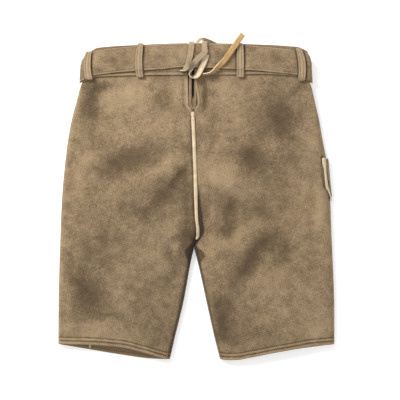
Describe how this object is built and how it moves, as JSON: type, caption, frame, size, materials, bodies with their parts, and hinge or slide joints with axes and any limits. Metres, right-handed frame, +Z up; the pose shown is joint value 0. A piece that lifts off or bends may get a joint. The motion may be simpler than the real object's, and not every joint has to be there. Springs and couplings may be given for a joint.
{
  "type": "leather breeches",
  "caption": "Short suede leather breeches laid flat on their front, with a belt in loops, a laced slit at the centre back, a piped seat seam and a knife pocket on one side.",
  "frame": {"origin": "middle of the footprint, on the surface that the breeches lie on", "axes": "+Y from the hems to the waist, +X to the wearer's right, +Z up from the surface, out of the back of the breeches"},
  "size_m": [0.495, 0.5881, 0.0414],
  "materials": {
    "suede": "taupe suede with a mottled nap, darker in its folds",
    "suede_band": "taupe suede, stitched and pressed flatter than the panels",
    "suede_belt": "taupe suede belt with a stitched edge on both sides",
    "cream_leather": "smooth cream welt leather",
    "lace_leather": "flat cut lace with a grey-tan grain side, an orange-tan flesh side and pale cut edges",
    "buckle_metal": "dull nickel",
    "horn": "dark horn, lightly polished"
  },
  "bodies": {
    "root": {"back_left": "suede", "back_right": "suede", "front_left": "suede", "front_right": "suede", "front_flap": "suede", "waistband_left": "suede_band", "waistband_right": "suede_band", "belt": "suede_belt", "belt_buckle": "buckle_metal", "loop_back_outer_left": "suede_band", "loop_back_inner_left": "suede_band", "loop_back_inner_right": "suede_band", "loop_back_outer_right": "suede_band", "loop_front_left": "suede_band", "loop_front_right": "suede_band", "slit_gusset": "suede", "centre_back_welt": "cream_leather", "pocket_piping": "cream_leather", "hem_welt_end": "cream_leather", "pocket_lip": "suede", "flap_button_1": "horn", "flap_button_2": "horn", "flap_button_3": "horn", "lace_over_belt": "lace_leather", "lace_bow": "lace_leather", "lace_free_end": "lace_leather", "lace_top_loop": "lace_leather"}
  },
  "joints": []
}
